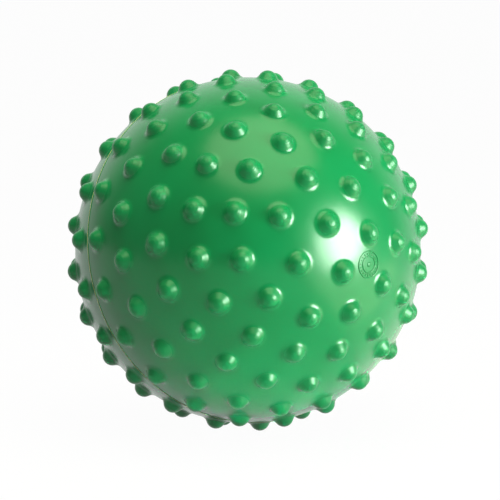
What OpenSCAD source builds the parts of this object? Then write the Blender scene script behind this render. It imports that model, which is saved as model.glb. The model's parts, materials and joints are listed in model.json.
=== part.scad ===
// Soft inflatable sensory ball: one hollow moulded skin with rings of round nubs,
// closed by a push-in air plug in a bonded valve bush.

/* [Skin] */
// Diameter of the skin between the nubs
skin_d = 190; // [150:1:260]
// Thickness of the moulded wall
wall = 1.6; // [1.4:0.1:3]
// Width of the raised line where the two mould halves met
bead_w = 0.8; // [0.6:0.1:2]
// Height of that line above the skin
bead_h = 0.3; // [0.2:0.1:0.6]

/* [Nubs] */
// Height of a nub's top above the skin
nub_h = 4.9; // [4:0.1:7]
// Diameter of a nub's round head
nub_d = 10.8; // [8:0.1:12]
// Diameter of the flared foot where a nub runs out into the skin
foot_d = 16.4; // [14:0.1:19]

/* [Nub layout] */
// Nubs in each ring, from the pole of a mould half to the parting line
ring_count = [6, 12, 16, 20, 22, 22]; // [3:1:30]
// Angle of each ring from the pole, in degrees
ring_polar = [16, 30, 43, 56, 70, 83]; // [10:1:84]
// Turn of each ring about the pole, in degrees
ring_turn = [50, 20.5, 12.5, 3, 6.5, 14]; // [0:0.5:60]
// Turn of the rear mould half's nubs against the front half's, in degrees
rear_turn = -2; // [-8:0.5:8]

/* [Valve] */
// Diameter of the air bore through the bush
bore_d = 6; // [4:0.1:7]
// Wall of the bush round its bore
bush_wall = 2; // [1.2:0.1:3]
// Depth that the bush reaches into the ball below its seat
bush_depth = 10; // [7:0.5:14]
// Diameter of the bonding flange inside the skin
flange_d = 22; // [18:0.5:26]
// Thickness of the bonding flange at its rim
flange_t = 1.4; // [1:0.1:2]
// Diameter of the flat seat round the valve
seat_d = 20; // [18:0.5:24]
// Height of the seat above the skin at the pole
seat_h = 0.6; // [0.3:0.1:1]

/* [Plug] */
// Diameter of the plug's head
head_d = 15; // [13:0.5:18]
// Thickness of the plug's head at its middle
head_t = 2; // [1.6:0.1:3]
// Length of the plug's stem below its head
stem_l = 14; // [12:0.5:18]
// Length of the tapered tip within that stem
tip_l = 4; // [2:0.5:5]
// Diameter at the end of the tapered tip
tip_d = 3.6; // [2:0.1:3.8]
// Sealing grooves round the stem
groove_count = 3; // [1:1:3]
// Distance from one groove to the next
groove_pitch = 2; // [1.5:0.1:2.5]
// Depth of a groove
groove_depth = 0.4; // [0.2:0.1:0.6]
// Diameter of the half-round nail notch in the head's rim
notch_d = 4; // [3:0.5:5]

/* [Clearances] */
// Radial clearance of the stem in the bore
stem_clear = 0.05; // [0.02:0.01:0.1]
// Gap between the plug's head and its seat
head_clear = 0.1; // [0.05:0.05:0.3]

/* [Resting pose] */
// Ring and place of the three rear nubs that the ball rests on
rest_nubs = [[5, 16], [5, 17], [6, 16]]; // [0:1:30]
// Turn about the vertical that faces the front pole forwards, in degrees
front_turn = -63; // [-180:0.5:180]

/* [Hidden] */

$fn = 48;
skin_r = skin_d / 2;
inner_r = skin_r - wall;
nub_r = nub_d / 2;
foot_r = foot_d / 2;
bore_r = bore_d / 2;
bush_r = bore_r + bush_wall;
flange_r = flange_d / 2;
seat_r = seat_d / 2;
head_r = head_d / 2;
stem_r = bore_r - stem_clear;

// Where two round forms blend, one bites this far into the other
blend_bite = 0.12;

// A nub's profile stands on the ball's centre, with its axis up
nub_y = skin_r + nub_h - nub_r;
foot_y = sqrt(skin_r * skin_r - foot_r * foot_r) - blend_bite;
root_y = (foot_y + inner_r) / 2;
// The fillet round the foot touches the foot's plane and the head
neck_r = nub_r - blend_bite;
neck_h = nub_y - foot_y;
fillet_r = (foot_r * foot_r + neck_h * neck_h - neck_r * neck_r) / (2 * (neck_r + neck_h));

// The bead is the crown of a circle that is centred just under the skin
bead_r = (bead_h * bead_h + bead_w * bead_w / 4) / (2 * bead_h);

// Heights along the valve's axis, outwards from the ball's centre
seat_y = skin_r + seat_h;
seat_root_y = (sqrt(skin_r * skin_r - seat_r * seat_r) + inner_r) / 2;
flange_y = sqrt(inner_r * inner_r - flange_r * flange_r) - flange_t;
head_y = seat_y + head_clear;

// The head's rim is half as thick as its middle, under a round crown
head_edge = head_t / 2;
crown_rise = head_t - head_edge;
crown_r = (head_r * head_r + crown_rise * crown_rise) / (2 * crown_rise);

// Direction of a rear nub from the ball's centre
function rear_nub(ring, place) =
    let (polar = 180 - ring_polar[ring - 1])
    let (turn = ring_turn[ring - 1] + rear_turn + 360 * place / ring_count[ring - 1])
    [sin(polar) * cos(turn), sin(polar) * sin(turn), cos(polar)];

// The plane through the three nubs' tops gives the way down
rest_dirs = [for (nub = rest_nubs) rear_nub(nub[0], nub[1])];
rest_cross = cross(rest_dirs[1] - rest_dirs[0], rest_dirs[2] - rest_dirs[0]);
rest_down = rest_cross * sign(rest_cross * rest_dirs[0]) / norm(rest_cross);
rest_polar = acos(rest_down.z);
rest_azimuth = atan2(rest_down.y, rest_down.x);

// From the mould's frame, front pole up, to the ball as it rests
module resting() {
    rotate([0, 0, front_turn])
        rotate([0, 180 - rest_polar, 0])
            rotate([0, 0, -rest_azimuth])
                children();
}

// Keeps the half of a profile that is turned about the axis
module right_half() {
    intersection() {
        translate([0, -2 * skin_r])
            square([2 * skin_r, 4 * skin_r]);
        children();
    }
}

module skin_profile() {
    right_half()
        difference() {
            union() {
                circle(skin_r, $fn = 180);
                translate([skin_r + bead_h - bead_r, 0])
                    circle(bead_r);
                translate([-seat_r, -seat_y])
                    square([seat_d, seat_y - seat_root_y]);
            }
            circle(inner_r, $fn = 180);
            translate([-bush_r, -2 * skin_r])
                square([2 * bush_r, 2 * skin_r]);
        }
}

// Round head on a foot that flares into the skin
module nub_profile() {
    intersection() {
        translate([0, root_y])
            square([foot_r, 2 * nub_h + wall]);
        union() {
            translate([0, nub_y])
                circle(nub_r);
            difference() {
                polygon([
                    [-foot_r, inner_r - nub_r],
                    [foot_r, inner_r - nub_r],
                    [foot_r, foot_y + fillet_r],
                    [0, nub_y],
                    [-foot_r, nub_y]
                ]);
                translate([foot_r, foot_y + fillet_r])
                    circle(fillet_r);
            }
        }
    }
}

module nub() {
    rotate_extrude($fn = 24)
        nub_profile();
}

// All nubs of one mould half, the pole apart
module nub_rings(half_turn = 0) {
    for (ring = [0 : len(ring_count) - 1], place = [0 : ring_count[ring] - 1])
        rotate([0, 0, half_turn + ring_turn[ring] + 360 * place / ring_count[ring]])
            rotate([0, ring_polar[ring], 0])
                nub();
}

module ball_skin() {
    color("forestgreen")
        resting() {
            rotate_extrude($fn = 180)
                skin_profile();
            nub();
            nub_rings();
            mirror([0, 0, 1])
                nub_rings(rear_turn);
        }
}

// Bush through the skin, with a flange that follows the skin's inside
module valve_insert() {
    color("darkgreen")
        resting()
            rotate_extrude()
                difference() {
                    union() {
                        translate([0, -seat_y])
                            square([bush_r, bush_depth]);
                        intersection() {
                            circle(inner_r, $fn = 180);
                            translate([0, -inner_r])
                                square([flange_r, inner_r - flange_y]);
                        }
                    }
                    translate([0, -2 * skin_r])
                        square([bore_r, 2 * skin_r]);
                }
}

// Stem with a tapered tip and grooves whose crests seal in the bore
module plug_stem() {
    rotate_extrude()
        difference() {
            polygon([
                [0, head_edge],
                [stem_r, head_edge],
                [stem_r, tip_l - stem_l],
                [tip_d / 2, -stem_l],
                [0, -stem_l]
            ]);
            for (step = [1 : groove_count])
                translate([stem_r, -groove_pitch * step])
                    rotate(45)
                        square(groove_depth * sqrt(2), center = true);
        }
}

// Low crowned head with a notch for a fingernail
module plug_head() {
    difference() {
        rotate_extrude()
            intersection() {
                square([head_r, head_t]);
                translate([0, head_t - crown_r])
                    circle(crown_r, $fn = 180);
            }
        translate([head_r, 0, -head_t])
            cylinder(d = notch_d, h = 3 * head_t);
    }
}

module valve_plug() {
    color("seagreen")
        resting()
            mirror([0, 0, 1])
                translate([0, 0, head_y]) {
                    plug_head();
                    plug_stem();
                }
}

ball_skin();
valve_insert();
valve_plug();
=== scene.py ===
import json
from math import cos, pi, radians, sin, sqrt

import bmesh
import bpy
import numpy as np
from mathutils import Euler, Matrix, Quaternion, Vector
from mathutils.geometry import delaunay_2d_cdt


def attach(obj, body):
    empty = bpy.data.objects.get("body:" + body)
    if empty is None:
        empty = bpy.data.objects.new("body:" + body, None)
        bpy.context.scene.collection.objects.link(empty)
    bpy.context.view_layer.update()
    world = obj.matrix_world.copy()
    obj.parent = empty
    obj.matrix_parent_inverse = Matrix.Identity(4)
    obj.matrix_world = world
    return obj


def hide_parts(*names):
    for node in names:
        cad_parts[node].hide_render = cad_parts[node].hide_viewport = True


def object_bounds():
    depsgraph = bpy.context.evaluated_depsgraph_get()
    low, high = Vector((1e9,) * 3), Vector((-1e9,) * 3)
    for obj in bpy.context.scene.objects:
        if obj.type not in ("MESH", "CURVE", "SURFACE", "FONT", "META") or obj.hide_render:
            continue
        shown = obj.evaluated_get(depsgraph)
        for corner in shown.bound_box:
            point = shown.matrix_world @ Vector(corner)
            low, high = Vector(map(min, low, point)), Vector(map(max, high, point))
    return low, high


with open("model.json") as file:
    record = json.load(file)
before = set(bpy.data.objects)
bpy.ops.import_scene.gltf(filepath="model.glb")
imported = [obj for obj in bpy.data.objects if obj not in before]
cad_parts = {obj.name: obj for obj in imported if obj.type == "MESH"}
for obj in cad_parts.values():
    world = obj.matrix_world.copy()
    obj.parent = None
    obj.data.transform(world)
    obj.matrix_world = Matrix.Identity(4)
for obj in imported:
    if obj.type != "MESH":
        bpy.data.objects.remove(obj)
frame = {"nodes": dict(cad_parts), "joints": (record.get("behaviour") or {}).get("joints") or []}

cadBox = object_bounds()
scene = bpy.context.scene
mm = 0.001
print("frame loaded:", sorted(frame["nodes"]))


class Wire:
    # a node's socket, ready for arithmetic
    def __init__(self, graph, socket):
        self.graph = graph
        self.socket = socket

    def __add__(self, other):
        return self.graph.math("ADD", self, other)

    def __sub__(self, other):
        return self.graph.math("SUBTRACT", self, other)

    def __mul__(self, other):
        return self.graph.math("MULTIPLY", self, other)

    def __truediv__(self, other):
        return self.graph.math("DIVIDE", self, other)

    def __gt__(self, other):
        return self.graph.math("GREATER_THAN", self, other)

    def __radd__(self, other):
        return self.graph.math("ADD", other, self)

    def __rsub__(self, other):
        return self.graph.math("SUBTRACT", other, self)

    def __rmul__(self, other):
        return self.graph.math("MULTIPLY", other, self)

    def __rtruediv__(self, other):
        return self.graph.math("DIVIDE", other, self)


class Graph:
    # one node tree, and the one way nodes are added to it
    def __init__(self, tree):
        self.tree = tree

    def pick(self, sockets, key):
        if isinstance(key, int):
            return sockets[key]
        return next(s for s in sockets if key in (s.identifier, s.name))

    def node(self, kind, settings=None, inputs=None, output=0):
        made = self.tree.nodes.new(kind)
        for name, value in (settings or {}).items():
            setattr(made, name, value)
        for key, value in (inputs or {}).items():
            socket = self.pick(made.inputs, key)
            for part in value if isinstance(value, list) else [value]:
                if isinstance(part, Wire):
                    self.tree.links.new(part.socket, socket)
                else:
                    socket.default_value = part
        return Wire(self, self.pick(made.outputs, output)) if made.outputs else made

    def math(self, operation, *values):
        return self.node("ShaderNodeMath", {"operation": operation}, dict(enumerate(values)))

    def vector(self, operation, *values, output="Vector"):
        return self.node("ShaderNodeVectorMath", {"operation": operation}, dict(enumerate(values)), output)

    def mixColour(self, factor, first, second):
        inputs = {"Factor_Float": factor, "A_Color": first, "B_Color": second}
        return self.node("ShaderNodeMix", {"data_type": "RGBA"}, inputs, "Result_Color")

    def ramp(self, value, low, high):
        # 0 below low, 1 above high and smooth between
        inputs = {"Value": value, "From Min": low, "From Max": high}
        return self.node("ShaderNodeMapRange", {"interpolation_type": "SMOOTHSTEP"}, inputs)

    def noise(self, place, scale, detail=2.0):
        return self.node("ShaderNodeTexNoise", {}, {"Vector": place, "Scale": scale, "Detail": detail})


def layoutGroup(name, inputs):
    # a group with inputs (label, kind, value): its graph, its inputs as wires, and its modifier's values
    graph = Graph(bpy.data.node_groups.new(name, "GeometryNodeTree"))
    named = {}
    for label, kind, value in inputs:
        socket = graph.tree.interface.new_socket(label, in_out="INPUT", socket_type="NodeSocket" + kind)
        named[socket.identifier] = value
    graph.tree.interface.new_socket("Geometry", in_out="OUTPUT", socket_type="NodeSocketGeometry")
    source = graph.tree.nodes.new("NodeGroupInput")
    given = {socket.name: Wire(graph, socket) for socket in source.outputs if socket.name}
    return graph, given, named


def blankGraph(owner):
    owner.use_nodes = True
    owner.node_tree.nodes.clear()
    return Graph(owner.node_tree)


skin = {
    "radius": 95.0 * mm,
    "wall": 1.6 * mm,
    "beadWidth": 0.8 * mm,  # the raised line where the mould halves met
    "beadHeight": 0.3 * mm,
    "beadApron": 0.8 * mm,  # row of plain skin kept beside the line
    "beadSegments": 480,
    "beadSteps": (0.5, 0.85, 1.0),  # mesh rows on each flank, as shares of half its width
    "fillSpacing": 2.7 * mm,  # mesh points on the skin between the nubs
    "fillClear": 0.6,  # share of that spacing kept clear round nubs, line and seat
}

nubs = {
    "height": 4.9 * mm,
    "headRadius": 5.4 * mm,
    "filletRadius": 4.0 * mm,
    "rimMargin": 0.6 * mm,  # strip of plain skin round a foot
    "segments": 16,
    "headSteps": 5,
    "filletSteps": 4,
    "weld": 0.01 * mm,
    # one mould half, from its pole: nubs, angle from the pole, turn about it
    "rings": ((6, 16, 50), (12, 30, 20.5), (16, 43, 12.5), (20, 56, 3), (22, 70, 6.5), (22, 83, 14)),
    "rearTurn": -2.0,
    "restNubs": ((5, 16), (5, 17), (6, 16)),  # ring and place of the rear nubs that it stands on
}

valve = {
    "seatRadius": 10.0 * mm,
    "seatHeight": 0.6 * mm,
    "holeRadius": 5.0 * mm,
    "blend": 0.5 * mm,  # round between skin and seat
    "edge": 0.25 * mm,  # round on the seat's edges
    "apron": 1.6 * mm,  # plain skin between the blend and the web
    "segments": 64,
    "blendSteps": 4,
    "edgeSteps": 3,
    "liningSteps": 36,
}


def rearNub(ring, place):
    count, polar, turn = nubs["rings"][ring - 1]
    away = radians(180 - polar)
    about = radians(turn + nubs["rearTurn"] + 360 * place / count)
    return Vector((sin(away) * cos(about), sin(away) * sin(about), cos(away)))


def axesFrom(first, second):
    side = first.cross(second).normalized()
    return Matrix((first, side, first.cross(side))).transposed()


# the mould's front pole is +Z; at rest the valve points along the plug's joint
# and three nubs touch the floor
def restingTurn():
    tops = [rearNub(*nub) for nub in nubs["restNubs"]]
    down = (tops[1] - tops[0]).cross(tops[2] - tops[0]).normalized()
    if down.dot(tops[0]) < 0:
        down.negate()
    worldPole = -Vector(frame["joints"][0]["axis"]).normalized()
    return axesFrom(worldPole, Vector((0, 0, -1))) @ axesFrom(Vector((0, 0, 1)), down).transposed()


resting = restingTurn()
frontPole = resting @ Vector((0, 0, 1))
print("front pole at", [round(c, 4) for c in frontPole])


# every nub as a patch: round head, flared foot and a strip of skin, laid out in rings
def nubLayout():
    inputs = [
        ("Skin Radius", "Float", skin["radius"]),
        ("Nub Height", "Float", nubs["height"]),
        ("Head Radius", "Float", nubs["headRadius"]),
        ("Fillet Radius", "Float", nubs["filletRadius"]),
        ("Rim Margin", "Float", nubs["rimMargin"]),
        ("Segments", "Int", nubs["segments"]),
        ("Head Steps", "Int", nubs["headSteps"]),
        ("Fillet Steps", "Int", nubs["filletSteps"]),
        ("Rear Turn", "Float", radians(nubs["rearTurn"])),
        ("Rest Turn", "Vector", resting.to_euler()),
        ("Material", "Material", pvcSkin),
    ]
    for number, (count, polar, turn) in enumerate(nubs["rings"], 1):
        inputs.append((f"Ring {number} Nubs", "Int", count))
        inputs.append((f"Ring {number} Angle", "Float", radians(polar)))
        inputs.append((f"Ring {number} Turn", "Float", radians(turn)))
    graph, given, named = layoutGroup("nubLayout", inputs)
    radius, height = given["Skin Radius"], given["Nub Height"]
    head, fillet = given["Head Radius"], given["Fillet Radius"]
    headSteps, filletSteps = given["Head Steps"], given["Fillet Steps"]

    def xyz(x, y, z):
        return graph.node("ShaderNodeCombineXYZ", {}, {"X": x, "Y": y, "Z": z})

    def move(geometry, **how):
        return graph.node("GeometryNodeTransform", {}, {"Geometry": geometry, **how})

    # the fillet's circle touches the head's circle and the skin's
    headY = radius + height - head
    reach = radius + fillet
    filletY = (headY * headY + reach * reach - (head + fillet) * (head + fillet)) / (2 * headY)
    filletX = graph.math("SQRT", reach * reach - filletY * filletY)
    neckAngle = graph.math("ARCTAN2", filletX, filletY - headY)
    footAngle = graph.math("ARCTAN2", filletX, filletY)

    # a flat grid whose columns become the patch's rings
    steps = headSteps + filletSteps + 1
    sizes = {"Size X": steps, "Size Y": 2 * pi}
    counts = {"Vertices X": steps + 1, "Vertices Y": given["Segments"] + 1}
    grid = graph.node("GeometryNodeMeshGrid", {}, {**sizes, **counts})
    spot = graph.node("GeometryNodeInputPosition")
    column = graph.node("ShaderNodeSeparateXYZ", {}, {"Vector": spot}, "X") + steps / 2
    around = graph.node("ShaderNodeSeparateXYZ", {}, {"Vector": spot}, "Y")

    def share(value):
        return graph.node("ShaderNodeClamp", {}, {"Value": value})

    headAngle = neckAngle * share(column / headSteps)
    filletAngle = neckAngle + (footAngle - neckAngle) * share((column - headSteps) / filletSteps)
    rimAngle = footAngle + given["Rim Margin"] / radius
    onFillet = column > headSteps + 0.5
    onRim = column > headSteps + filletSteps + 0.5

    def choose(whole, trig, centre):
        onHead = whole + head * graph.math(trig, headAngle)
        filleted = centre - fillet * graph.math(trig, filletAngle)
        skinned = radius * graph.math(trig, rimAngle)
        return onHead + onFillet * (filleted - onHead) + onRim * (skinned - filleted)

    out = choose(0.0, "SINE", filletX)
    up = choose(headY, "COSINE", filletY)
    place = xyz(out * graph.math("COSINE", around), out * graph.math("SINE", around), up - radius)
    patch = graph.node("GeometryNodeSetPosition", {}, {"Geometry": grid, "Position": place})
    patch = graph.node("GeometryNodeMergeByDistance", {}, {"Geometry": patch, "Distance": nubs["weld"]})

    # points of one mould half on a unit ball, then the other half mirrored
    half = []
    for number in range(1, len(nubs["rings"]) + 1):
        circle = {"Vertices": given[f"Ring {number} Nubs"], "Radius": 1.0}
        ring = graph.node("GeometryNodeMeshCircle", {"fill_type": "NONE"}, circle)
        polar = given[f"Ring {number} Angle"]
        wide = graph.math("SINE", polar)
        lift = xyz(0.0, 0.0, graph.math("COSINE", polar))
        turn = xyz(0.0, 0.0, given[f"Ring {number} Turn"])
        half.append(move(ring, Translation=lift, Rotation=turn, Scale=xyz(wide, wide, 1.0)))
    front = graph.node("GeometryNodeJoinGeometry", {}, {"Geometry": half})
    rear = move(front, Rotation=xyz(0.0, 0.0, given["Rear Turn"]), Scale=(1, 1, -1))
    pole = graph.node("GeometryNodeMeshLine", {}, {"Count": 1, "Start Location": (0, 0, 1)})
    points = graph.node("GeometryNodeJoinGeometry", {}, {"Geometry": [pole, front, rear]})
    points = move(points, Rotation=given["Rest Turn"], Scale=xyz(radius, radius, radius))

    upright = graph.node("FunctionNodeAlignRotationToVector", {"axis": "Z"}, {"Vector": spot})
    stood = {"Points": points, "Instance": patch, "Rotation": upright}
    stood = graph.node("GeometryNodeInstanceOnPoints", {}, stood)
    tag = {"Geometry": stood, "Name": "nub", "Value": graph.node("GeometryNodeInputIndex")}
    kept = {"data_type": "INT", "domain": "INSTANCE"}
    stood = graph.node("GeometryNodeStoreNamedAttribute", kept, tag)
    solid = graph.node("GeometryNodeRealizeInstances", {}, {"Geometry": stood})
    finish = {"Geometry": solid, "Material": given["Material"]}
    finished = graph.node("GeometryNodeSetMaterial", {}, finish)
    graph.node("NodeGroupOutput", {}, {"Geometry": finished})
    return graph.tree, named


def evaluatedMesh(tree, named):
    carrier = bpy.data.objects.new("carrier", bpy.data.meshes.new("carrier"))
    scene.collection.objects.link(carrier)
    modifier = carrier.modifiers.new("layout", "NODES")
    modifier.node_group = tree
    for identifier, value in named.items():
        modifier[identifier] = value
    depsgraph = bpy.context.evaluated_depsgraph_get()
    ready = carrier.evaluated_get(depsgraph)
    mesh = bpy.data.meshes.new_from_object(ready, preserve_all_data_layers=True, depsgraph=depsgraph)
    carrier.modifiers.remove(modifier)
    bpy.data.objects.remove(carrier)
    return mesh


def arc(centre, radius, start, end, steps):
    # points on a circle, angles in degrees from the outward axis towards up
    angles = [radians(start + (end - start) * step / steps) for step in range(steps + 1)]
    return [(centre[0] + radius * cos(a), centre[1] + radius * sin(a)) for a in angles]


def latheRings(bm, profile, segments, turn, shape=None):
    # one ring of vertices for each profile point (distance from the axis, height along it)
    rings = []
    for out, up in profile:
        if out == 0:
            rings.append([bm.verts.new(turn @ Vector((0, 0, up)))])
            continue
        ring = []
        for step in range(segments):
            about = 2 * pi * step / segments
            wide = shape(out, about) if shape else out
            ring.append(bm.verts.new(turn @ Vector((wide * cos(about), wide * sin(about), up))))
        rings.append(ring)
    for above, below in zip(rings, rings[1:]):
        for step in range(segments):
            order = ((above, 0), (below, 0), (below, 1), (above, 1))
            corners = [ring[(step + ahead) % len(ring)] for ring, ahead in order]
            bm.faces.new(list(dict.fromkeys(corners)))
    return rings


def meshObject(name, bm, material, smoothAngle=None):
    bmesh.ops.recalc_face_normals(bm, faces=bm.faces)
    openEdges = sum(not edge.is_manifold for edge in bm.edges)
    mesh = bpy.data.meshes.new(name)
    bm.to_mesh(mesh)
    bm.free()
    mesh.materials.clear()
    mesh.materials.append(material)
    if smoothAngle is None:
        mesh.shade_smooth()
    else:
        mesh.set_sharp_from_angle(angle=radians(smoothAngle))
    made = bpy.data.objects.new(name, mesh)
    scene.collection.objects.link(made)
    print(f"{name}: {len(mesh.polygons)} faces, {openEdges} open edges")
    return made


def seatProfile():
    # from the skin up to the flat seat, down the hole and along the inside to the front pole
    radius, inner = skin["radius"], skin["radius"] - skin["wall"]
    seatY = radius + valve["seatHeight"]
    blend, edge = valve["blend"], valve["edge"]
    start = valve["seatRadius"] + blend
    skinY = sqrt(radius ** 2 - start ** 2)
    rim = valve["seatRadius"] + blend + valve["apron"]
    profile = [(rim, sqrt(radius ** 2 - rim ** 2))]
    profile += arc((start, skinY + blend), blend, 270, 180, valve["blendSteps"])
    profile += arc((valve["seatRadius"] - edge, seatY - edge), edge, 0, 90, valve["edgeSteps"])
    hole = valve["holeRadius"]
    profile += arc((hole + edge, seatY - edge), edge, 90, 180, valve["edgeSteps"])
    reach = np.arcsin(hole / inner)
    for step in range(valve["liningSteps"]):
        angle = reach + (pi - reach) * step / valve["liningSteps"]
        profile.append((inner * sin(angle), inner * cos(angle)))
    return profile + [(0, -inner)]


def beadRows():
    # offset from the parting plane and height above the skin
    half = skin["beadWidth"] / 2
    crown = (skin["beadHeight"] ** 2 + half ** 2) / (2 * skin["beadHeight"])
    rows = [(0.0, skin["beadHeight"])]
    for share in skin["beadSteps"]:
        offset = half * share
        rows.append((offset, skin["beadHeight"] - crown + sqrt(crown ** 2 - offset ** 2)))
    rows.append((half + skin["beadApron"], 0.0))
    return rows + [(-offset, height) for offset, height in rows[1:]]


def spreadPoints(spacing):
    # even points on a unit ball, by the golden angle
    count = int(4 * pi * skin["radius"] ** 2 / (0.866 * spacing ** 2))  # as on an even triangle grid
    place = np.arange(count) + 0.5
    up = 1 - 2 * place / count
    about = pi * (1 + sqrt(5)) * place
    flat = np.sqrt(1 - up ** 2)
    return np.column_stack((flat * np.cos(about), flat * np.sin(about), up))


def makeSkin():
    nubMesh = evaluatedMesh(*nubLayout())
    bm = bmesh.new()
    bm.from_mesh(nubMesh)
    owner = bm.verts.layers.int["nub"]
    rims = [vert for vert in bm.verts if vert.is_boundary]
    rimEdges = [edge for edge in bm.edges if edge.is_boundary]
    print("nubs:", 1 + max(vert[owner] for vert in rims))

    # the web's own points are worked out in the mould's frame, front pole up
    toMould = resting.transposed()
    radius = skin["radius"]
    valveTurn = resting @ Matrix.Rotation(pi, 3, "X")
    seat = latheRings(bm, seatProfile(), valve["segments"], valveTurn)[0]
    webVerts = rims + seat
    owners = [vert[owner] for vert in rims] + [-1] * len(seat)
    edges = [(edge.verts[0], edge.verts[1]) for edge in rimEdges]
    edges += list(zip(seat, seat[1:] + seat[:1]))
    for offset, height in beadRows():
        flat = sqrt((radius + height) ** 2 - offset ** 2)
        row = []
        for step in range(skin["beadSegments"]):
            about = 2 * pi * step / skin["beadSegments"]
            row.append(bm.verts.new(resting @ Vector((flat * cos(about), flat * sin(about), offset))))
        webVerts += row
        edges += list(zip(row, row[1:] + row[:1]))

    centres = np.zeros((1 + max(owners), 3))
    for vert in rims:
        centres[vert[owner]] += toMould @ vert.co
    centres /= np.linalg.norm(centres, axis=1)[:, None]
    spread = spreadPoints(skin["fillSpacing"])
    rimAngle = (toMould @ rims[0].co).angle(Vector(centres[rims[0][owner]]))
    clear = skin["fillClear"] * skin["fillSpacing"] / radius
    outside = (spread @ centres.T).max(axis=1) < cos(rimAngle + clear)
    lineReach = skin["beadWidth"] / 2 + skin["beadApron"] + clear * radius
    offLine = np.abs(spread[:, 2]) * radius > lineReach
    seatCos = (toMould @ seat[0].co).normalized().z
    offSeat = spread[:, 2] > cos(np.arccos(seatCos) - clear)
    for point in spread[outside & offLine & offSeat]:
        webVerts.append(bm.verts.new(resting @ Vector(point * radius)))
    owners += [-1] * (len(webVerts) - len(owners))

    # seen from the rear pole, the ball unrolls to a flat disc that can be triangulated
    place = {vert: number for number, vert in enumerate(webVerts)}
    disc = []
    for vert in webVerts:
        spot = (toMould @ vert.co).normalized()
        disc.append(Vector((spot.x, spot.y)) / (1 + spot.z))
    pairs = [(place[a], place[b]) for a, b in edges]
    _, _, triangles, sources, _, _ = delaunay_2d_cdt(disc, pairs, [], 0, 1e-9)
    for triangle in triangles:
        corners = [sources[corner][0] for corner in triangle]
        held = {owners[corner] for corner in corners}
        if held != {-1} and len(held) == 1:
            continue  # under a nub
        bm.faces.new([webVerts[corner] for corner in corners])
    return meshObject("ballSkin", bm, pvcSkin)


stamp = {
    "polar": 20.2,  # angle from the front pole
    "turn": -38.5,  # about the pole, from the mould's zero
    "rings": (7.1 * mm, 4.3 * mm),
    "width": 0.75 * mm,
    "height": 0.42 * mm,
    "root": 0.3 * mm,  # depth that it reaches into the skin
    "segments": 72,
    "crownSteps": 6,
    "weld": 0.001 * mm,
    "ticks": 20,
    "tickRadius": 5.7 * mm,  # from the stamp's middle to the middle of a tick
    "tickSize": (1.5 * mm, 0.6 * mm, 0.7 * mm),
    "dotSize": (2.6 * mm, 2.6 * mm, 0.8 * mm),
    "beadSegments": 12,  # ticks and dot are flattened beads
    "beadRings": 6,
}


# plain ticks on a circle, and a dot in the middle
def stampTicks(turn):
    graph, given, named = layoutGroup("stampTicks", [
        ("Ticks", "Int", stamp["ticks"]),
        ("Circle Radius", "Float", stamp["tickRadius"]),
        ("Skin Radius", "Float", skin["radius"]),
        ("Tick Size", "Vector", stamp["tickSize"]),
        ("Dot Size", "Vector", stamp["dotSize"]),
        ("Bead Segments", "Int", stamp["beadSegments"]),
        ("Bead Rings", "Int", stamp["beadRings"]),
        ("Stamp Turn", "Vector", turn.to_euler()),
        ("Material", "Material", pvcSkin),
    ])

    bead = {"Segments": given["Bead Segments"], "Rings": given["Bead Rings"], "Radius": 0.5}
    bead = graph.node("GeometryNodeMeshUVSphere", {}, bead)
    circle = {"Vertices": given["Ticks"], "Radius": given["Circle Radius"]}
    circle = graph.node("GeometryNodeMeshCircle", {"fill_type": "NONE"}, circle)
    spot = graph.node("GeometryNodeInputPosition")
    outward = graph.node("FunctionNodeAlignRotationToVector", {"axis": "X"}, {"Vector": spot})
    ticks = {"Points": circle, "Instance": bead, "Rotation": outward, "Scale": given["Tick Size"]}
    ticks = graph.node("GeometryNodeInstanceOnPoints", {}, ticks)
    middle = graph.node("GeometryNodeMeshLine", {}, {"Count": 1})
    dot = {"Points": middle, "Instance": bead, "Scale": given["Dot Size"]}
    dot = graph.node("GeometryNodeInstanceOnPoints", {}, dot)
    flat = graph.node("GeometryNodeJoinGeometry", {}, {"Geometry": [ticks, dot]})
    flat = graph.node("GeometryNodeRealizeInstances", {}, {"Geometry": flat})

    # the flat mark is lowered onto the round skin, then turned to its place
    radius = given["Skin Radius"]
    away = graph.vector("LENGTH", graph.vector("MULTIPLY", spot, (1, 1, 0)), output="Value")
    lift = graph.node("ShaderNodeCombineXYZ", {}, {"Z": radius * graph.math("COSINE", away / radius)})
    curved = graph.node("GeometryNodeSetPosition", {}, {"Geometry": flat, "Offset": lift})
    turned = {"Geometry": curved, "Rotation": given["Stamp Turn"]}
    placed = graph.node("GeometryNodeTransform", {}, turned)
    finish = {"Geometry": placed, "Material": given["Material"]}
    finished = graph.node("GeometryNodeSetMaterial", {}, finish)
    graph.node("NodeGroupOutput", {}, {"Geometry": finished})
    return graph.tree, named


# a generic mark moulded between the nubs: two rings, ticks and a dot
def makeStamp():
    about = Matrix.Rotation(radians(stamp["turn"]), 3, "Z")
    tilt = Matrix.Rotation(radians(stamp["polar"]), 3, "Y")
    turn = resting @ about @ tilt
    bm = bmesh.new()
    bm.from_mesh(evaluatedMesh(*stampTicks(turn)))
    radius = skin["radius"]
    half = stamp["width"] / 2
    for ring in stamp["rings"]:
        section = arc((0, 0), 1, 180, 0, stamp["crownSteps"])
        rise = [(half * x, stamp["height"] * y) for x, y in section]
        rise += [(half, -stamp["root"]), (-half, -stamp["root"])]
        profile = []
        for side, up in rise + rise[:1]:
            angle = (ring + side) / radius
            profile.append(((radius + up) * sin(angle), (radius + up) * cos(angle)))
        latheRings(bm, profile, stamp["segments"], turn)
    bmesh.ops.remove_doubles(bm, verts=bm.verts, dist=stamp["weld"])
    return meshObject("stampRings", bm, pvcSkin)


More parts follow.
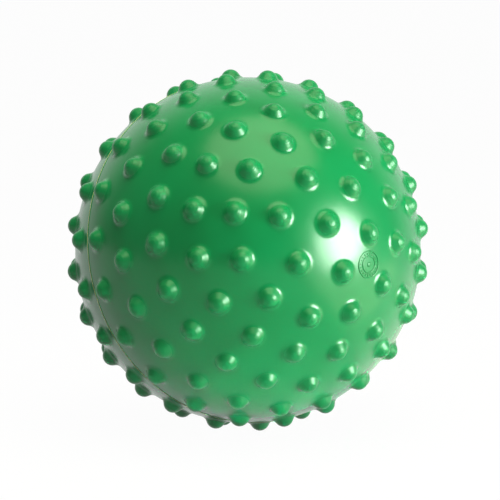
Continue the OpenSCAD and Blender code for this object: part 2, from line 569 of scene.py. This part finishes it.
plug = {
    "headRadius": 7.5 * mm,
    "headThickness": 2.0 * mm,
    "rimRound": 0.35 * mm,
    "stemRadius": 2.95 * mm,
    "stemLength": 14.0 * mm,
    "tipLength": 4.0 * mm,
    "tipRadius": 1.8 * mm,
    "grooves": 3,
    "groovePitch": 2.0 * mm,
    "grooveDepth": 0.4 * mm,
    "notchRadius": 2.0 * mm,
    "seatGap": 0.1 * mm,
    "segments": 96,
    "crownSteps": 8,
    "crownEnd": 75,  # degrees up the rim's round where the crown meets it
    "rimSteps": 4,
    "neckSteps": 3,
    "grooveSteps": 6,
    "sharpAngle": 40,  # edges past this many degrees stay sharp
}


def plugProfile():
    # from the crown's middle round the rim, then down the grooved stem to its tip
    base = skin["radius"] + valve["seatHeight"] + plug["seatGap"]
    head, rim = plug["headRadius"], plug["rimRound"]
    edge = plug["headThickness"] / 2
    rise = plug["headThickness"] - edge
    crown = (head ** 2 + rise ** 2) / (2 * rise)
    profile = [(0, base + plug["headThickness"])]
    for step in range(1, plug["crownSteps"]):
        out = (head - rim) * step / plug["crownSteps"]
        profile.append((out, base + plug["headThickness"] - crown + sqrt(crown ** 2 - out ** 2)))
    profile += arc((head - rim, base + edge - rim), rim, plug["crownEnd"], 0, plug["rimSteps"])
    profile += arc((head - rim, base + rim), rim, 0, -90, plug["rimSteps"])
    stem = plug["stemRadius"]
    profile.append((stem + rim, base))
    profile += arc((stem + rim, base - rim), rim, 90, 180, plug["neckSteps"])[1:]
    for groove in range(1, plug["grooves"] + 1):
        middle = base - plug["groovePitch"] * groove
        profile += arc((stem, middle), plug["grooveDepth"], 90, 270, plug["grooveSteps"])
    profile.append((stem, base - plug["stemLength"] + plug["tipLength"]))
    profile.append((plug["tipRadius"] + rim / 2, base - plug["stemLength"] + rim))
    profile.append((plug["tipRadius"] - rim / 2, base - plug["stemLength"]))
    return profile + [(0, base - plug["stemLength"])]


def nailNotch(out, about):
    # the head's rim gives way to a half-round notch for a fingernail
    across = plug["headRadius"] * sin(about)
    if cos(about) < 0 or abs(across) >= plug["notchRadius"]:
        return out
    depth = sqrt(plug["notchRadius"] ** 2 - across ** 2)
    return min(out, plug["headRadius"] * cos(about) - depth)


def makePlug():
    bm = bmesh.new()
    turn = resting @ Matrix.Rotation(pi, 3, "X")
    latheRings(bm, plugProfile(), plug["segments"], turn, nailNotch)
    return meshObject("airPlug", bm, pvcPlug, plug["sharpAngle"])


pvc = {
    "skin": {"deep": (0.0, 0.26, 0.064, 1), "fresh": (0.0, 0.292, 0.076, 1), "rough": 0.24},
    "bush": {"deep": (0.0, 0.19, 0.04, 1), "fresh": (0.002, 0.23, 0.05, 1), "rough": 0.42},
    "plug": {"deep": (0.0, 0.22, 0.046, 1), "fresh": (0.002, 0.27, 0.06, 1), "rough": 0.26},
    # the parting line's pale flash, made brighter than the plastic's own colour as a painted glint on the
    # bead
    "partingFlashAndGlint": (0.92, 0.98, 0.45, 1),
    "partingShare": 0.9,  # how far the line takes that colour
    "partingWidth": 0.35 * mm,
    "partingCore": 0.4,  # share of that width without a soft edge
    "index": 1.45,
    "tint": (0.95, 1.0, 0.9, 1),
    "mottleScale": 22.0,
    "mottleRange": (0.3, 0.7),  # noise at which the colour is deep and fresh
    "sheenScale": 70.0,
    "sheenSpread": 0.08,
    "peelScale": 900.0,
    "peelDepth": 0.008 * mm,
    "ringPitch": 1.5 * mm,  # faint turned rings on the nubs
    "ringDepth": 0.03 * mm,
    "nubFinish": (0.1, 0.3),  # shares of a nub's height where its finish starts and is full
    "wornFrom": 0.8,  # and where its worn top starts
    "nubRough": 0.13,  # roughness added on the nubs, their worn tops and the parting line
    "wornRough": 0.08,
    "wornScale": 160.0,
    "partingRough": 0.35,
}


# soft glossy plastic: slow drift of colour, uneven gloss and a fine orange peel
def mouldedPvc(name, look, details=None):
    material = bpy.data.materials.new(name)
    graph = blankGraph(material)
    place = graph.node("ShaderNodeTexCoord", output="Object")
    mottle = graph.ramp(graph.noise(place, pvc["mottleScale"]), *pvc["mottleRange"])
    colour = graph.mixColour(mottle, look["deep"], look["fresh"])
    rough = look["rough"] + pvc["sheenSpread"] * (graph.noise(place, pvc["sheenScale"], 3.0) - 0.5)
    relief = pvc["peelDepth"] * graph.noise(place, pvc["peelScale"], 1.0)
    if details:
        colour, rough, relief = details(graph, place, colour, rough, relief)
    bump = graph.node("ShaderNodeBump", {}, {"Strength": 1.0, "Distance": 1.0, "Height": relief})
    inputs = {
        "Base Color": colour, "Roughness": rough, "Normal": bump,
        "IOR": pvc["index"], "Specular Tint": pvc["tint"],
    }
    surface = graph.node("ShaderNodeBsdfPrincipled", {}, inputs)
    graph.node("ShaderNodeOutputMaterial", {}, {"Surface": surface})
    return material


def skinDetails(graph, place, colour, rough, relief):
    # pale flash and a painted glint on the parting line, turned rings on the nubs, and their tops dulled
    # by handling
    offset = graph.math("ABSOLUTE", graph.vector("DOT_PRODUCT", place, frontPole, output="Value"))
    line = 1 - graph.ramp(offset, pvc["partingCore"] * pvc["partingWidth"], pvc["partingWidth"])
    # the line takes its pale flash, brightened into a painted glint
    colour = graph.mixColour(line * pvc["partingShare"], colour, pvc["partingFlashAndGlint"])
    rise = graph.vector("LENGTH", place, output="Value") - skin["radius"]
    onNub = graph.ramp(rise / nubs["height"], *pvc["nubFinish"])
    drop = rise - (nubs["height"] - nubs["headRadius"])
    out = graph.math("SQRT", graph.math("MAXIMUM", nubs["headRadius"] ** 2 - drop * drop, 0.0))
    turned = graph.math("SINE", out * (2 * pi / pvc["ringPitch"]))
    relief = relief + pvc["ringDepth"] * onNub * turned
    worn = graph.ramp(rise / nubs["height"], pvc["wornFrom"], 1.0)
    worn = worn * graph.noise(place, pvc["wornScale"])
    rough = rough + pvc["nubRough"] * onNub + pvc["wornRough"] * worn + pvc["partingRough"] * line
    return colour, rough, relief


pvcSkin = mouldedPvc("pvcSkin", pvc["skin"], skinDetails)
pvcBush = mouldedPvc("pvcBush", pvc["bush"])
pvcPlug = mouldedPvc("pvcPlug", pvc["plug"])
print("materials made")

skinPiece = makeSkin()
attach(skinPiece, "ball")
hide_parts("ball_skin")

stampPiece = makeStamp()
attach(stampPiece, "ball")

plugPiece = makePlug()
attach(plugPiece, "plug")
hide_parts("valve_plug")

for materialSlot in frame["nodes"]["valve_insert"].material_slots:
    materialSlot.material = pvcBush
print("pieces in place")

lens = {
    "elevation": 8.9,
    "roll": -0.6,
    "distance": 1.33,
    "focal": 173.7,  # on a 36 mm sensor
    "shiftX": 0.0042,
}


def makeCamera():
    tilt = radians(lens["elevation"])
    back = Vector((0, -cos(tilt), sin(tilt)))
    camera = bpy.data.objects.new("camera", bpy.data.cameras.new("camera"))
    camera.data.lens = lens["focal"]
    camera.data.sensor_width = 36
    camera.data.shift_x = lens["shiftX"]
    camera.location = back * lens["distance"]
    camera.rotation_mode = "QUATERNION"
    roll = Quaternion((0, 0, 1), radians(lens["roll"]))
    camera.rotation_quaternion = (-back).to_track_quat("-Z", "Y") @ roll
    scene.collection.objects.link(camera)
    scene.camera = camera


# place in metres: right, away from the camera, up; glow is a panel's brightness, and a panel without
# a turn faces the ball; some only show in the gloss, and some only light the colour
lamps = {
    "overhead": {"place": (0.13, -0.28, 0.72), "turn": (0, 0, 0), "size": (0.86, 0.86), "glow": 3.0,
                 "tone": (1.0, 0.98, 0.72)},
    "window": {"place": (0.87, -0.47, 0.125), "size": (0.65, 0.66), "glow": 18.0, "only": "gloss"},
    "windowCore": {"place": (0.88, -0.44, 0.14), "size": (0.44, 0.46), "glow": 17.0, "only": "gloss"},
    "tableFront": {"place": (0.51, -0.15, -0.092), "turn": (180, 0, 30), "size": (0.6, 0.5), "glow": 2.1,
                   "tone": (1.0, 0.97, 0.68), "only": "gloss"},
    "tableBack": {"place": (0.235, 0.125, -0.092), "turn": (180, 0, 30), "size": (0.4, 0.25), "glow": 0.4,
                  "tone": (1.0, 0.97, 0.68), "only": "gloss"},
    "side": {"place": (0.9, -0.4, 0.0), "size": (0.5, 0.5), "glow": 18.0, "only": "colour"},
    "fill": {"place": (0.0, 0.0, 0.9), "size": (0.8, 0.8), "glow": 1.1, "only": "colour"},
    "bounce": {"place": (0.1, -0.195, -0.092), "turn": (180, 0, 0), "size": (0.4, 0.35), "glow": 1.25,
               "only": "colour"},
}

studio = {
    "ambient": (0.28, 0.28, 0.28, 1),  # the dim room that lights the colours and faces the ball in gloss
    "backdrop": (0.3, 0.8),  # where the white wall starts and is full, as shares of straight back
    "floor": (0.04, 0.04, 0.04, 1),  # what it throws back onto the ball's colours
    "floorWhite": 0.97,  # the rest keeps the ball's shadow
    "floorReach": 12.0,
}


def makeLamp(name, look):
    place = Vector(look["place"])
    light = bpy.data.lights.new(name, "AREA")
    light.shape = "RECTANGLE" if name.startswith("table") else "ELLIPSE"
    light.size, light.size_y = look["size"]
    fullness = pi / 4 if light.shape == "ELLIPSE" else 1
    light.energy = look["glow"] * pi * fullness * light.size * light.size_y
    light.color = look.get("tone", (1, 1, 1))
    lamp = bpy.data.objects.new(name, light)
    lamp.location = place
    lamp.rotation_mode = "QUATERNION"
    if "turn" in look:
        lamp.rotation_quaternion = Euler([radians(angle) for angle in look["turn"]]).to_quaternion()
    else:
        lamp.rotation_quaternion = (-place).to_track_quat("-Z", "Y")
    only = look.get("only")
    lamp.visible_camera = False
    lamp.visible_diffuse = only != "gloss"
    lamp.visible_glossy = only != "colour"
    # sampled both ways, a lamp for the colour would still show a little in the gloss
    light.cycles.use_multiple_importance_sampling = only != "colour"
    scene.collection.objects.link(lamp)


def whiteRays(graph):
    # straight looks and looks through clear things, and looks by way of gloss
    straight = graph.node("ShaderNodeLightPath", output="Is Camera Ray")
    through = graph.node("ShaderNodeLightPath", output="Is Transmission Ray")
    return straight + through, graph.node("ShaderNodeLightPath", output="Is Glossy Ray")


def makeFloor():
    material = bpy.data.materials.new("paleFloor")
    graph = blankGraph(material)
    straight, mirrored = whiteRays(graph)
    white = graph.math("MINIMUM", straight + mirrored, 1.0)
    shade = graph.mixColour(white, studio["floor"], (1, 1, 1, 1))
    lit = graph.node("ShaderNodeBsdfDiffuse", {}, {"Color": shade})
    plain = graph.node("ShaderNodeEmission", {}, {"Color": (1, 1, 1, 1), "Strength": 1.0})
    mixed = graph.node("ShaderNodeMixShader", {}, {0: studio["floorWhite"] * white, 1: lit, 2: plain})
    graph.node("ShaderNodeOutputMaterial", {}, {"Surface": mixed})
    bm = bmesh.new()
    reach = studio["floorReach"]
    level = cadBox[0].z
    signs = ((-1, -1), (1, -1), (1, 1), (-1, 1))
    bm.faces.new([bm.verts.new((x * reach, y * reach, level)) for x, y in signs])
    floor = meshObject("floor", bm, material)


def makeRoom():
    world = bpy.data.worlds.new("room")
    graph = blankGraph(world)
    straight, mirrored = whiteRays(graph)
    way = graph.node("ShaderNodeTexCoord", output="Generated")
    depth = graph.node("ShaderNodeSeparateXYZ", {}, {"Vector": way}, "Y")
    backdrop = graph.ramp(depth, *studio["backdrop"])
    white = graph.math("MINIMUM", straight + mirrored * backdrop, 1.0)
    colour = graph.mixColour(white, studio["ambient"], (1, 1, 1, 1))
    glow = graph.node("ShaderNodeBackground", {}, {"Color": colour, "Strength": 1.0})
    graph.node("ShaderNodeOutputWorld", {}, {"Surface": glow})
    scene.world = world


makeCamera()
for lampName, lampLook in lamps.items():
    makeLamp(lampName, lampLook)
makeFloor()
makeRoom()
scene.view_settings.view_transform = "Standard"
print("studio ready")
